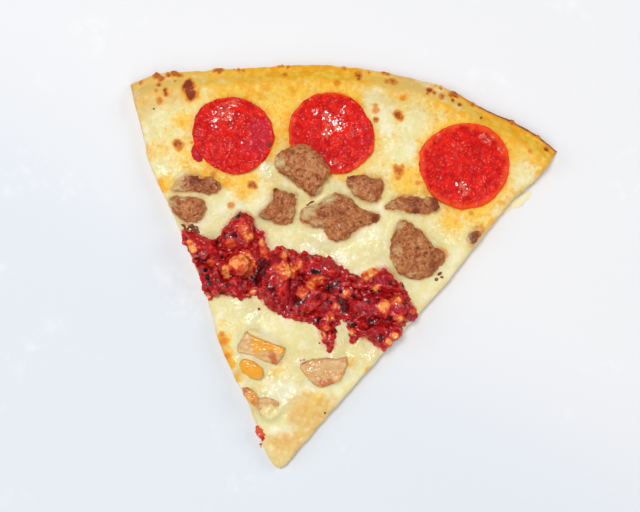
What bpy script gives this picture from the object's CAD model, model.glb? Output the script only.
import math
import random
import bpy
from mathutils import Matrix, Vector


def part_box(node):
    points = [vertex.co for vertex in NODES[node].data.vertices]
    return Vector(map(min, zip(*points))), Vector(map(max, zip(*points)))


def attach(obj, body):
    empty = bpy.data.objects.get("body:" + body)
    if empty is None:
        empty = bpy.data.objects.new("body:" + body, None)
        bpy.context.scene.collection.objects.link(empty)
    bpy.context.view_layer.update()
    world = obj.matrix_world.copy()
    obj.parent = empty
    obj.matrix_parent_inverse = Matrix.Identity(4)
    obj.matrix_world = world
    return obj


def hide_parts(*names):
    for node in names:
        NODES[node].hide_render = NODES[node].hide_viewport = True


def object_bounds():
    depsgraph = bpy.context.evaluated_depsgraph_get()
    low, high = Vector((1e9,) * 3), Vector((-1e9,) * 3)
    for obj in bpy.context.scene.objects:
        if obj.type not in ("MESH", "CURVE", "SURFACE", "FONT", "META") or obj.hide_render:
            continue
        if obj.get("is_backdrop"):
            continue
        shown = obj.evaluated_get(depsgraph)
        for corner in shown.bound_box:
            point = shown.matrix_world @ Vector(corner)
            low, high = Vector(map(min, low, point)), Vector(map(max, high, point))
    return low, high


bl_info = {
    "name": "Pizza Slice",
    "version": (1, 0, 0),
    "blender": (4, 5, 0),
    "location": "3D View > Sidebar > Pizza Slice",
    "description": "Baked dough, melted cheese and meat toppings for one cut slice of pizza",
    "category": "Add Mesh",
}

import bmesh
import bpy
import numpy as np
from bpy.props import FloatProperty, FloatVectorProperty, IntProperty, PointerProperty
from mathutils import Matrix, Vector, noise
from mathutils.bvhtree import BVHTree

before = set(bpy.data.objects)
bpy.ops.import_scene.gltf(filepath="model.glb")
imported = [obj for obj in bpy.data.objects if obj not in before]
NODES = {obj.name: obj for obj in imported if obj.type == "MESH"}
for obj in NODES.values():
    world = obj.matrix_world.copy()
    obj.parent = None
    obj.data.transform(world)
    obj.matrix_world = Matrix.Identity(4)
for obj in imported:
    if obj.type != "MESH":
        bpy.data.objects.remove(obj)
CAD_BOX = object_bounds()

MM = 0.001
BODY = "root"
TIP = min((vert.co for vert in NODES["crust"].data.vertices), key=lambda co: co.y).copy()

# The slice's plan, as the solids have it: (angle, mm from the tip), (share of the way, angle)
OUTER_EDGE = (
    (-32, 203), (-27, 203), (-21, 199.4), (-14, 197.6), (-6, 199.4), (4, 201.4), (13, 204.2), (19, 203.6),
    (27, 206.8), (32, 207.4),
)
LEFT_CUT = (
    (0, -75), (0.05, -52), (0.1, -41), (0.16, -37), (0.26, -36.6), (0.34, -36.2), (0.42, -33.8),
    (0.55, -33), (0.7, -33.1), (0.8, -33.4), (0.87, -32.7), (0.93, -32.2), (1, -31.6),
)
RIGHT_CUT = (
    (0, 50), (0.05, 36), (0.1, 33), (0.2, 31.8), (0.6, 31.6), (0.7, 31.1), (0.85, 30.6), (0.93, 31.3),
    (1, 31),
)
CHEESE_GAP = 0.3 * MM
RIM_CREST = 0.955  # the rim's highest line, as a share of the way from the tip to the outer edge
UNDER_CURL = 0.965  # where the underside begins to lift
# How golden the rim is: (angle, share)
RIM_GOLD = (
    (-32, 0.15), (-25, 0.3), (-19, 0.6), (-11, 0.95), (0, 0.95), (7, 0.15), (14, 0.4), (22, 0.9),
    (32, 0.95),
)
FOOT_HEIGHT = 5 * MM  # of a chunk's side that cheese clings to
CLIMB_REACH = 4.2 * MM  # from a topping, where the cheese begins to rise towards it
GREASE_REACH = 6 * MM  # how far the pepperoni's grease spreads
SAUCE_REACH = 4 * MM  # how far the red chicken's sauce spreads
TABLE_GAP = 0.02 * MM
PAST_OUTLINE = 1 * MM  # how far the rim may bulge past the solid
PAST_TOP = 0.2 * MM  # how far a chunk may rise past the solids
LUMPS_PER_MM = 1.2  # of a chunk's length and width
SHRED_TRIES = 9000
BLISTER_HALO = 1.8  # golden cheese round a blister, in blister radii
# How near to its middle each pepperoni's orange ring reaches
ORANGE_RINGS = {"pepperoni_left": 0.88, "pepperoni_middle": 0.93, "pepperoni_right": 1.0}
# How far the cheese climbs up each kind of topping, as a share of the most
CLIMB_SHARES = {"pepperoni": 0.18, "sausage": 1.0, "red": 0.45, "chicken": 1.1}

PEPPERONI, SAUSAGE, RED_CHICKEN, GRILLED_CHICKEN = (
    sorted(name for name in NODES if name.startswith(start))
    for start in ("pepperoni_", "sausage_", "red_chicken_", "chicken_")
)

# Blisters of the cheese and the rim: x, y from the tip, radius in mm, browning, height in mm
BLISTERS = (
    (-77, 176.6, 3.6, 1, 0.6), (-75.2, 173.4, 3.4, 1, 0.6), (-77.8, 178.6, 2.4, 0.95, 0.4),
    (-91.5, 178.4, 1.8, 0.8, 0.3), (-91.7, 175.2, 1.7, 0.7, 0.3), (-88.1, 172.9, 1.9, 0.9, 0.4),
    (-87.4, 171.4, 1.6, 0.85, 0.3), (-92.4, 172.1, 1.4, 0.5, 0.2), (-90.2, 167.5, 2, 0.5, 0.2),
    (-101, 175.2, 1.3, 0.7, 0.2), (-84.4, 178.5, 1, 0.6, 0.1), (-77.3, 148.3, 2.4, 0.74, 0.3),
    (-76.4, 146.8, 1.8, 0.7, 0.2), (-31.9, 191.2, 1.6, 0.6, 0.3), (-6, 191.1, 1.9, 0.45, 0.3),
    (3.4, 197.2, 2.2, 0.75, 0.4), (3.9, 195.6, 1.6, 0.7, 0.3), (20.3, 197.3, 2.6, 0.66, 0.4),
    (17.9, 196.8, 1.8, 0.6, 0.3), (25.9, 181.6, 2.4, 0.8, 0.4), (27.4, 180.4, 1.8, 0.75, 0.3),
    (14.9, 181.9, 2, 0.5, 0.3), (14.2, 184.2, 1.5, 0.45, 0.2), (15.6, 177, 1.7, 0.7, 0.3),
    (-38.5, 135.4, 2.5, 0.7, 0.3), (-36.9, 134.6, 1.7, 0.65, 0.2), (31.3, 154.4, 2.8, 0.66, 0.3),
    (31.4, 151.4, 1.9, 0.5, 0.2), (32.6, 157, 1.5, 0.45, 0.2), (39.2, 196.2, 1.9, 0.9, 0.4),
    (41.6, 195.2, 1.3, 0.7, 0.2), (38.4, 194.2, 1.2, 0.7, 0.2), (45.6, 194.2, 1.8, 0.62, 0.3),
    (51.7, 196.8, 1.9, 0.85, 0.4), (51.2, 193.4, 1.1, 0.95, 0.2), (54.8, 191.7, 1.5, 0.85, 0.3),
    (26.8, 189.6, 1.7, 0.45, 0.2), (100.6, 178, 1.9, 0.85, 0.3), (92.4, 175.2, 1.6, 0.45, 0.2),
    (-46.4, 123.7, 2.2, 0.46, 0.2), (-57.9, 136.5, 2, 0.5, 0.2), (36, 139, 1.5, 0.4, 0.2),
    (70, 140.5, 1.6, 0.4, 0.2), (-70.8, 150.2, 1.2, 0.4, 0.1), (41.4, 150.4, 1.6, 0.42, 0.1),
    (-38.6, 57.5, 2.2, 0.5, 0.1), (-40, 60.5, 1.6, 0.5, 0.1), (-35.2, 50.5, 1.8, 0.4, 0.1),
)
# Crisp dark bubbles along the rim's outer edge: x, y, radius, browning
RIM_CRISPS = (
    (-95, 179.6, 1.6, 1), (-93, 179.4, 1.5, 1), (-90.9, 178.8, 1.3, 0.9), (-88.4, 181.3, 1.5, 1),
    (-86.1, 182.7, 1.8, 1), (-84, 182, 1.4, 0.9), (-82, 181.9, 0.9, 0.7), (-66.5, 187.2, 1.2, 0.8),
    (-64.7, 188, 1.6, 0.9), (-62.8, 188.4, 1, 0.8), (-57.6, 190.3, 1.2, 0.9), (-55.1, 189.7, 1.2, 0.9),
    (-52.6, 189.7, 1, 0.8), (-35.5, 194.7, 0.9, 0.7), (-34.2, 195.5, 1.1, 0.8), (-31.2, 195.5, 1, 0.8),
    (-3.5, 199.5, 1, 0.7), (8.3, 200.1, 0.9, 0.8), (15.6, 201, 1.4, 1), (18.2, 200.4, 0.9, 0.8),
    (41.8, 199.2, 1, 0.7), (44.4, 198.7, 1.1, 0.8), (50.3, 196.3, 1.3, 0.9), (52.9, 195.7, 1.2, 0.9),
    (61.8, 193.3, 1, 1), (82.2, 188, 0.9, 1), (96, 183.1, 1.2, 1),
)
# Grilled chicken: how far its top leans in mm, towards which angle, and the plan's corners
CHICKEN_CUTS = {
    "chicken_slab": (1.4, 200, (
        (-28.5, 64.6), (-23.2, 62.5), (-7.3, 59.9), (-7.5, 55.4), (-10.6, 50.4), (-18.2, 51.5),
        (-24.4, 52.9), (-31.0, 53.2), (-31.9, 55.5), (-30.2, 59.8))),
    "chicken_gold": (0.8, 300, (
        (-28.4, 50.1), (-25.7, 51.6), (-21.0, 50.5), (-17.1, 48.2), (-15.4, 44.0), (-17.5, 41.7),
        (-22.5, 42.2), (-26.8, 44.0), (-28.9, 47.1))),
    "chicken_right": (1.6, 160, (
        (-0.1, 53.3), (5.7, 56.8), (11.9, 58.4), (17.4, 58.4), (22.3, 61.3), (23.4, 58.0),
        (22.8, 52.9), (21.6, 48.7), (16.7, 45.3), (12.2, 43.0), (8.5, 44.3), (3.8, 48.0),
        (0.9, 50.4))),
    "chicken_edge": (0.8, 20, (
        (-26.1, 37.1), (-22.7, 37.7), (-18.3, 35.5), (-15.7, 32.0), (-15.6, 28.6), (-18.1, 28.6),
        (-21.5, 31.0), (-24.4, 33.4))),
    "chicken_pale": (1.4, 330, (
        (-17.3, 32.7), (-12.2, 34.6), (-6.6, 33.7), (-4.9, 30.0), (-6.6, 25.7), (-13.3, 24.0),
        (-16.8, 26.9))),
}
# Where the cheese is more golden (above 0) or whiter (below 0): x, y, radius, by how much
GOLDEN_PLACES = (
    (-85.8, 144.9, 6, 0.2), (-80.4, 128.4, 5, 0.6), (-70.3, 141.7, 7, 0.4), (-56.5, 136.7, 9, 0.6),
    (-43, 133.7, 9, 0.7), (-32, 178.4, 14, 0.5), (-23.3, 185, 14, 0.5), (-14, 189, 12, 0.55),
    (33.9, 149, 8, 0.7), (37.3, 152.6, 6, 0.5), (43.9, 148.8, 6, 0.4), (61.9, 134.6, 8, 0.6),
    (44.4, 196.2, 12, 0.4), (65.4, 190, 12, 0.5), (84, 183.4, 12, 0.5), (97.6, 176.9, 9, 0.5),
    (-38.5, 56.3, 4, 1.2), (-77.6, 160.3, 5, 0.4), (22.9, 190.8, 8, 0.25), (-28, 165, 10, 0.5),
    (-20, 150, 7, 0.35), (74, 139, 8, 0.35), (6, 33, 6, 0.3), (60, 119, 5, 0.3), (18, 146, 6, 0.3),
    (-34.4, 144.2, 6, -0.5), (-84.9, 134.1, 7, -0.4), (-53.5, 125.8, 8, -0.3), (13.7, 186.7, 6, -0.5),
    (19, 179.2, 7, -0.7), (32.5, 165.2, 9, -0.45), (1, 141.1, 5, -0.3), (33.9, 179.4, 8, -0.25),
    (90.9, 164.2, 8, -0.35), (-5.3, 38.5, 9, -0.7), (-66, 168, 11, -0.4), (-92, 156, 9, -0.35),
    (-95, 150, 6, -0.3), (-66, 160, 8, -0.15), (-60, 184, 12, 0.35), (-34, 47, 4, 0.8), (-44, 188, 12, 0.3),
    (14, 184, 10, -0.3), (-37, 59, 3.5, 1), (-35, 53, 3, 0.9), (-33, 47, 3, 0.9), (-29, 40, 3, 0.8),
    (-41, 66, 3, 0.7), (-34, 66, 4, 0.3), (-8, 49, 7, 0.35), (12, 38, 8, 0.3), (25, 60, 5, 0.2),
    (44, 70, 4, 0.7), (34, 56, 3, 0.6), (-10.9, 46.8, 6, 0.3), (24.4, 58.2, 5, 0.45), (-2.6, 61.8, 6, 0.25),
    (18.1, 65.5, 5, 0.3), (-36.8, 52.1, 4, 0.6), (-16.1, 39.4, 5, 0.35), (12.1, 38, 5, 0.35),
)
# Where bare dough shows or the cheese has toasted to its colour: x, y, radius, by how much
TOASTED_PLACES = (
    (-88, 180, 18, 0.75), (-60, 192, 15, 0.55), (-99, 163, 11, 0.65), (8, 30, 13, 0.85), (15, 27, 9, 0.5),
    (-2.1, 15, 6, 0.4), (2, 8, 12, 0.6), (-6, 22.5, 7, -0.7), (-20, 28, 6, 0.5), (20, 37, 7, 0.5),
    (-30, 194, 14, 0.3), (16, 186, 10, 0.45), (-11, 29, 7, 0.6), (-30, 45, 4, 0.4), (0, 20, 14, 0.3),
    (-8, 12, 8, 0.3), (9, 16, 7, 0.4), (-2, 52, 8, 0.2), (36, 58, 5, 0.2), (-45, 190, 12, 0.3),
    (30, 194, 12, 0.4), (6, 196, 10, 0.3), (40, 180, 9, 0.25), (-92, 152, 7, 0.3), (-38, 55, 3.5, 0.9),
    (-78, 184, 12, 0.4), (95, 180, 12, 0.4), (-27, 42, 5, 0.4),
)
# Charred tops of the red chicken: x, y, radius, by how much
CHARRED_PLACES = (
    (-41.5, 120, 2.3, 1), (-42.2, 118.4, 1.7, 0.9), (-52.6, 90.1, 1.6, 1), (-51.1, 87.4, 1.7, 1),
    (-49.5, 84.2, 1.4, 1), (-1.4, 98.8, 1.8, 0.9), (1.6, 98.9, 1.7, 0.9), (43.3, 99.9, 1.6, 1),
    (13.9, 91.6, 1.6, 0.8), (8.1, 93.1, 1.4, 0.7), (-28.1, 95.5, 1.2, 0.6), (34.4, 102.3, 1.1, 0.5),
)
# Where the red chicken's orange flesh shows through its spice: x, y, radius, by how much
FLESH_PLACES = (
    (-35.8, 96.6, 6, 0.92), (-34.3, 99.4, 4.2, 0.85), (-38.3, 96.7, 3.4, 1), (-43, 92.3, 2.2, 1.6),
    (-42, 89.5, 2, 1.5), (-60.6, 98.6, 2.3, 1.4), (-62.1, 101.8, 1.8, 1.2), (-27.9, 108, 2.3, 1.1),
    (-26.5, 102.8, 2.1, 1.2), (-15.5, 97.3, 4.4, 1.05), (-12.3, 95.9, 3.1, 1), (-0.8, 93, 3.4, 1.15),
    (2.8, 95.1, 2.6, 1.1), (34.5, 87.9, 3.8, 1.6), (35.7, 89.6, 2.6, 1.3), (24.5, 102, 3.4, 1.25),
    (27, 104.4, 2.9, 1.3), (29.7, 105.9, 2.3, 1.2), (10.7, 78.6, 2.9, 1.2), (8.5, 68.7, 2.3, 1.3),
    (9.8, 73, 2.1, 1.1), (43.3, 75, 2.6, 1.3), (40.9, 71.6, 2.3, 1.3), (49.9, 88.1, 2.3, 1.2),
    (-28.6, 84, 2.1, 1.2), (22.2, 73.2, 2.3, 1.1), (15.9, 91.5, 2.6, 0.85), (41.2, 92, 3.1, 0.9),
    (-4.8, 87.8, 3.1, 0.8), (-37.2, 112.8, 3.4, 0.95), (-34.8, 110.2, 2.9, 0.85), (-50.3, 77.6, 2.3, 1.1),
    (30, 96, 2.9, 0.9), (-42.8, 104.8, 3.4, 0.7), (44.2, 83.6, 2.6, 1.1), (29.2, 70, 2.1, 1.2),
    (-16.2, 104.1, 3.1, 0.75), (-9.2, 100.9, 2.9, 0.8), (12.8, 83.9, 2.3, 0.9), (-50.8, 94.4, 2.6, 0.75),
    (-13.3, 16, 4, 0.6), (-12.7, 9.7, 3, 0.6), (-39.7, 96.4, 3, 0.9), (-32.3, 96.7, 3, 0.8),
)
# Mounds of the cheese: x, y, radius, share of a millimetre
MOUNDS = (
    (-7, 38, 4, 1), (-11.4, 43.5, 3.4, 0.8), (-1.6, 36, 3, 0.8), (1, 45, 4, 0.7), (-4, 31.6, 3, 0.7),
    (-12, 34, 3, 0.7), (-5.5, 44.5, 3, 0.7), (6, 40, 3, 0.6), (-1, 25, 3.5, 0.5), (24, 56, 5, 0.5),
    (-12, 69, 8, 0.5), (-34, 76, 6, 0.6), (-27, 68, 6, 0.4), (-2.1, 14, 6, 0.5), (-13, 24, 4, 0.5),
    (-34, 143, 5, 0.7), (-84, 134, 6, 0.6), (1, 141, 4, 0.4), (25, 118, 8, 0.5), (2, 118, 9, 0.5),
    (17, 64, 4, 0.6), (27, 67, 4, 0.6), (33, 62, 5, 0.5), (19, 180, 6, 0.6), (32, 165, 8, 0.5),
    (-40, 178, 9, 0.5), (-66, 168, 8, 0.4), (48, 178, 6, 0.4), (92, 164, 8, 0.5), (14, 38, 4, 0.5),
)
# Dark paste in the gaps between the red chunks: x, y, radius, by how much
SHADED_PLACES = (
    (-26.3, 93.4, 4, 1), (-28.1, 89.5, 3.2, 0.9), (-24.5, 97.2, 2.6, 0.9), (-26.7, 98.7, 2.4, 0.8),
    (-41.6, 109.5, 1.9, 0.8), (-39.2, 107.4, 1.6, 0.6), (-6.1, 83.5, 3.6, 0.8), (-2.7, 87.1, 2.8, 0.6),
    (14.9, 85.8, 3, 1), (17.9, 83.4, 2.8, 0.9), (7.8, 92.5, 3, 0.9), (10.8, 95, 2.6, 0.8),
    (6.3, 75.8, 2.2, 0.8), (22.1, 76.2, 2.4, 0.8), (36.7, 72.8, 2.4, 0.7), (31.5, 79.4, 2.4, 0.7),
    (38.9, 82.7, 2, 0.7), (3.2, 87.2, 2.4, 0.6), (-49.2, 90.7, 2.2, 0.6), (-46.1, 98.3, 2, 0.6),
    (-54.7, 93.7, 2, 0.5), (-33.2, 90.6, 2.4, 0.6), (-19.7, 87.1, 2.4, 0.6), (-14.9, 90.9, 2, 0.5),
    (-5.7, 95.6, 2.2, 0.6), (21.6, 90.5, 2.2, 0.6), (27.2, 89.5, 2.2, 0.6), (13.9, 72.2, 1.8, 0.7),
    (-49.6, 104.1, 2, 0.5), (-40.6, 84.8, 2.2, 0.5), (45.3, 91.3, 2, 0.5), (-8.9, 77.1, 2.2, 0.5),
)
# Oil that glistens on each pepperoni round: x, y, radius, by how much
OILY_PLACES = {
    "pepperoni_left": (
        (-57.1, 168.0, 4.6, 1.0), (-59.9, 164.0, 3.2, 0.8), (-53.9, 172.5, 3.0, 0.7),
        (-61.2, 160.3, 2.4, 0.5), (-53.4, 161.2, 1.2, 0.9), (-46.1, 154.0, 1.8, 0.5),
        (-43.6, 159.4, 1.4, 0.3),
    ),
    "pepperoni_middle": (
        (-2.8, 170.8, 4.8, 1.0), (-8.5, 174.7, 3.4, 0.8), (-0.7, 178.1, 2.6, 0.5),
        (-0.6, 152.7, 2.6, 0.9), (3.0, 152.4, 2.0, 0.7), (-6.1, 166.7, 2.4, 0.8),
        (8.6, 170.8, 2.2, 0.4), (-13.7, 175.8, 2.4, 0.5),
    ),
    "pepperoni_right": (
        (68.6, 177.6, 2.4, 1.0), (71.5, 175.7, 1.8, 0.8), (59.4, 170.5, 1.8, 1.0),
        (63.1, 152.8, 2.6, 1.0), (64.7, 149.6, 2.2, 0.9), (78.3, 173.4, 1.9, 0.8),
        (72.5, 158.9, 1.3, 0.8), (44.2, 174.7, 1.2, 0.8), (63.4, 178.7, 1.4, 0.5),
        (43.6, 167.2, 1.2, 0.4),
    ),
}
# Where the cheese is wet enough to sparkle: x, y, radius, by how much
WET_PLACES = (
    (-9, 36, 13, 0.8), (-34, 76, 8, 0.7), (-26, 70, 6, 0.5), (22, 63, 9, 0.9), (33, 62, 6, 0.6),
    (-2, 116, 12, 0.3), (6, 122, 12, 0.5), (27, 118, 10, 0.4), (-84, 134, 7, 0.5), (-34, 144, 6, 0.8),
    (-14, 52, 6, 0.3), (-70, 135, 6, 0.5), (-16, 184, 12, 0.25), (24, 168, 8, 0.3), (44, 120, 6, 0.5),
    (-30, 50, 5, 0.6), (40, 178, 9, 0.25), (-40, 176, 8, 0.25), (60, 124, 8, 0.2), (8, 107, 9, 0.4),
)
# Small bits: x, y from the tip, half length, half width, height in mm, turn in degrees
PEPPER = (
    (-92.1, 163.2, 0.6, 0.5, 0.4, 0), (66.2, 187.2, 0.7, 0.5, 0.4, 30), (16.7, 31.4, 0.7, 0.6, 0.4, 60),
    (2.5, 24.5, 0.6, 0.5, 0.4, 0),
)
SAUSAGE_CRUMBS = (
    (59.6, 108.6, 1.5, 1, 0.9, 40), (58.6, 105.6, 1.1, 0.9, 0.8, 0), (61.2, 107, 1, 0.7, 0.6, 0),
    (60.4, 110.4, 0.8, 0.6, 0.5, 0), (57.9, 107.6, 0.8, 0.6, 0.5, 20), (-67.6, 110, 2, 1.4, 1, -20),
    (-64.4, 110.4, 2, 1.7, 1.1, 0), (-61.4, 109.4, 1.8, 1.4, 0.9, -30), (-66, 107.6, 1.7, 1.2, 0.9, 10),
    (-63, 107.4, 1.8, 1.1, 0.8, 10), (-60.2, 107.6, 1.2, 0.9, 0.7, 0), (-65.8, 112.2, 1.4, 1, 0.8, 0),
    (-8, 131.8, 2, 0.6, 0.7, 35), (-9.8, 130.2, 1.3, 0.5, 0.6, 40),
)
PEPPERONI_SCRAPS = (
    (-67.9, 145.9, 2.6, 4.2, 0.7, 15), (-66.2, 143.4, 2.2, 2.2, 0.7, 0), (41.4, 158.6, 1.2, 3.6, 0.8, 10),
    (41.9, 155.4, 1.1, 2.2, 0.7, 0), (-34.4, 156, 1.3, 2, 1.2, 10),
)
CHEESE_DRIPS = (
    (91.4, 149.8, 5.4, 3.2, 0.2, 25), (95.2, 153.4, 4.2, 2.6, 0.2, 40), (87, 145.4, 4.2, 2, 0.2, 35),
    (98, 160.2, 1.8, 1.1, 0.2, 20),
)
RED_FLECKS = (
    (-14.8, 18.4, 0.9), (-14.1, 17.1, 1.2), (-13, 15.6, 1.4), (-12, 14.2, 1.2), (-11, 15.8, 0.8),
    (-12.6, 17.4, 0.9), (-11.3, 12.8, 0.7), (-11.7, 9.6, 0.7), (-11.4, 8.4, 0.5), (-10.4, 13.9, 0.6),
    (2, 55.4, 0.6), (0.4, 54.8, 0.5), (12, 57.6, 0.9), (13.8, 58.8, 0.7), (8, 64.6, 0.6), (10.6, 120, 0.4),
    (-27, 100, 0.9), (-24, 76, 0.7), (10.2, 58.2, 0.5), (4.6, 66.2, 0.4),
)
# The spread of the spice paste and shreds between the red chunks, in mm from the tip
PASTE_OUTLINE = (
    (-67.2, 105.8), (-59.7, 105), (-53.7, 104.8), (-49.1, 106.9), (-46.8, 112.7), (-43, 119.2),
    (-39.9, 120.2), (-35.2, 117.3), (-33.6, 114.7), (-29.8, 115), (-26.6, 106.4), (-24.3, 102.7),
    (-19.2, 106.9), (-12.5, 106.4), (-4.1, 105.9), (7.4, 106.3), (12.1, 103.4), (16.7, 100.9), (21, 100),
    (24.6, 103.2), (33.1, 106.8), (38.8, 102.4), (45.6, 97), (48.1, 92.4), (52.2, 88.2), (51.9, 85.3),
    (48.1, 83.3), (45.4, 79.5), (41.9, 73.9), (37.8, 66.5), (35.4, 71.1), (30.2, 71.8), (26, 71.9),
    (23.6, 67.5), (19.8, 78.2), (15.2, 76.6), (14.3, 70.6), (15.1, 63.3), (13.5, 61.3), (10.4, 66.6),
    (6.2, 71.7), (3, 75.2), (-1.8, 74.4), (-10.1, 74.5), (-19, 77.9), (-26.6, 83.2), (-33.4, 79.5),
    (-41, 80.6), (-46.7, 79.6), (-48.5, 75.9), (-52.6, 80.2), (-58.6, 90.7), (-63.9, 101.4),
)


def srgb(red, green, blue):
    """A colour as seen on screen, from 0 to 255, as the linear values that Blender uses."""
    shares = (value / 255 for value in (red, green, blue))
    return tuple(s / 12.92 if s <= 0.04045 else ((s + 0.055) / 1.055) ** 2.4 for s in shares)


def colour(name, description, red, green, blue):
    return FloatVectorProperty(
        name=name, description=description, subtype="COLOR", size=3, min=0, max=1,
        default=srgb(red, green, blue),
    )


def length(name, description, millimetres):
    return FloatProperty(
        name=name, description=description, default=millimetres * MM, min=0,
        subtype="DISTANCE", unit="LENGTH",
    )


class SliceSizes(bpy.types.PropertyGroup):
    """Sizes of the slice's fine surface."""

    crust_rows: IntProperty(
        name="Crust Rows", description="Rows of triangles from the tip to the rim", default=208)
    cheese_rows: IntProperty(
        name="Cheese Rows", description="Rows of triangles from the tip to the rim", default=288)
    cut_slope: length("Cut Slope", "How far a cut's foot stands out from its top edge", 0.7)
    crumb_depth: length("Crumb Depth", "Depth of the open crumb in the cut faces", 0.7)
    cheese_ripple: length("Cheese Ripple", "Height of the cheese's ripples", 0.55)
    mound_height: length("Mound Height", "Height of the cheese's mounds", 1.3)
    cheese_climb: length("Cheese Climb", "How far the cheese climbs up a chunk", 2.5)
    fine_voxel: length("Fine Detail", "Mesh size of the pepperoni and the shreds", 0.42)
    meat_voxel: length("Meat Detail", "Mesh size of the chunks", 0.45)
    shred_size: length("Shred Size", "Radius of the shreds between the red chunks", 1.5)


class SliceColours(bpy.types.PropertyGroup):
    """Colours of the slice."""

    white_cheese: colour("White Cheese", "Cheese that hasn't browned", 232, 223, 162)
    cream_cheese: colour("Cream Cheese", "Palest cheese, on its ripples", 245, 240, 208)
    golden_cheese: colour("Golden Cheese", "Cheese that has taken up oil", 246, 200, 70)
    amber_oil: colour("Amber Oil", "Oil that pools on the cheese", 242, 166, 20)
    blister_ring: colour("Blister Ring", "Ring round a browned blister", 224, 132, 30)
    blister_heart: colour("Blister Heart", "Middle of a browned blister", 138, 48, 30)
    dough: colour("Dough", "Baked dough", 231, 189, 102)
    toasted_dough: colour("Toasted Dough", "Dough browned at the rim", 222, 148, 48)
    burnt_dough: colour("Burnt Dough", "Dough burnt at the rim's edge", 134, 50, 16)
    crumb: colour("Crumb", "Inside of the dough, in the cuts", 240, 218, 158)
    flour: colour("Flour", "Flour on the underside", 240, 226, 196)
    pepperoni_red: colour("Pepperoni Red", "Pepperoni", 228, 20, 6)
    pepperoni_dark: colour("Pepperoni Dark", "Lean meat in the pepperoni", 192, 0, 6)
    pepperoni_fat: colour("Pepperoni Fat", "Fat in the pepperoni", 246, 78, 28)
    pepperoni_pale: colour("Pepperoni Pale", "Beads of fat in the pepperoni", 242, 116, 78)
    pepperoni_violet: colour("Pepperoni Violet", "Cured edge of the pepperoni", 186, 30, 58)
    sausage_brown: colour("Sausage Brown", "Sausage", 168, 90, 46)
    sausage_light: colour("Sausage Light", "Fat in the sausage", 208, 142, 88)
    sausage_shade: colour("Sausage Shade", "Sausage that has browned", 152, 76, 36)
    sausage_dark: colour("Sausage Dark", "Crevices of the sausage", 92, 40, 14)
    spice_red: colour("Spice Red", "Spiced surface of the red chicken", 184, 20, 22)
    spice_bright: colour("Spice Bright", "Crests of the red chicken", 224, 60, 48)
    spice_dark: colour("Spice Dark", "Spice paste in its crevices", 78, 2, 6)
    spice_rose: colour("Spice Rose", "Moist spice with a cool tint", 166, 34, 52)
    spice_orange: colour("Spice Orange", "Thin spice over the flesh", 226, 84, 46)
    red_flesh: colour("Red Chicken Flesh", "Flesh that shows through the spice", 252, 162, 84)
    char: colour("Char", "Charred spots", 26, 12, 16)
    chicken_pale: colour("Chicken Pale", "Grilled chicken", 208, 154, 92)
    chicken_light: colour("Chicken Light", "Its paler fibres", 230, 196, 142)
    chicken_gold: colour("Chicken Gold", "Golden parts of the chicken", 240, 164, 16)
    chicken_grilled: colour("Chicken Grilled", "Browned parts of the chicken", 196, 98, 34)
    sausage_seared: colour("Sausage Seared", "Edges of the sausage", 122, 46, 20)
    drip: colour("Drip", "Cheese that ran out on the table", 250, 236, 182)
    pepper: colour("Pepper", "Ground pepper", 40, 30, 24)
    table: colour("Table", "Work surface", 224, 229, 235)
    table_light: colour("Table Light", "Its side that is nearer the window", 236, 236, 238)


class StageSizes(bpy.types.PropertyGroup):
    """The camera and the light."""

    lens: FloatProperty(name="Lens", description="Focal length in mm", default=70)
    field: FloatProperty(
        name="Field", description="Width of the view at the slice", default=0.3136,
        subtype="DISTANCE", unit="LENGTH")
    field_height: length("Field Height", "Height of the plane where the field is measured", 7)
    roll: FloatProperty(
        name="Roll", description="Turn of the camera about the vertical",
        default=math.radians(10.2), subtype="ANGLE", unit="ROTATION")
    key_power: FloatProperty(name="Key Power", description="Watts of the key light", default=29.5)
    side_power: FloatProperty(
        name="Side Power", description="Watts of a side light; the right one has a quarter more",
        default=16)
    sky: FloatProperty(name="Sky", description="Strength of the light all round", default=0.2)


def sizes():
    return bpy.context.scene.pizza_sizes


def colours():
    return bpy.context.scene.pizza_colours


def through(points, at):
    """Values at each of `at` of a smooth curve through (place, value) points."""
    place, value = np.array(points, float).T
    slope = np.empty_like(value)
    slope[1:-1] = (value[2:] - value[:-2]) / (place[2:] - place[:-2])
    slope[0] = (value[1] - value[0]) / (place[1] - place[0])
    slope[-1] = (value[-1] - value[-2]) / (place[-1] - place[-2])
    at = np.clip(at, place[0], place[-1])
    i = np.clip(np.searchsorted(place, at, side="right") - 1, 0, len(place) - 2)
    width = place[i + 1] - place[i]
    u = (at - place[i]) / width
    return (
        (2 * u**3 - 3 * u**2 + 1) * value[i]
        + (u**3 - 2 * u**2 + u) * width * slope[i]
        + (3 * u**2 - 2 * u**3) * value[i + 1]
        + (u**3 - u**2) * width * slope[i + 1]
    )


def ease(value):
    value = np.clip(value, 0, 1)
    return value * value * (3 - 2 * value)


def waves(x, y, size, layer, z=0):
    """Even noise from -1 to 1 at each place; a wave is about `size` metres long."""
    points = np.stack(np.broadcast_arrays(x / size, y / size, z / size + layer), axis=-1)
    return np.array([noise.noise(Vector(point)) for point in points.reshape(-1, 3)])


def plan_share(x, y):
    """How far from the tip to the outer edge each place is, from 0 to 1."""
    return np.hypot(x, y) / (through(OUTER_EDGE, np.degrees(np.arctan2(x, y))) * MM)


def crust_underside(x, y):
    return 1.6 * MM * np.clip((plan_share(x, y) - UNDER_CURL) / (1 - UNDER_CURL), 0, 1) ** 2


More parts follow.
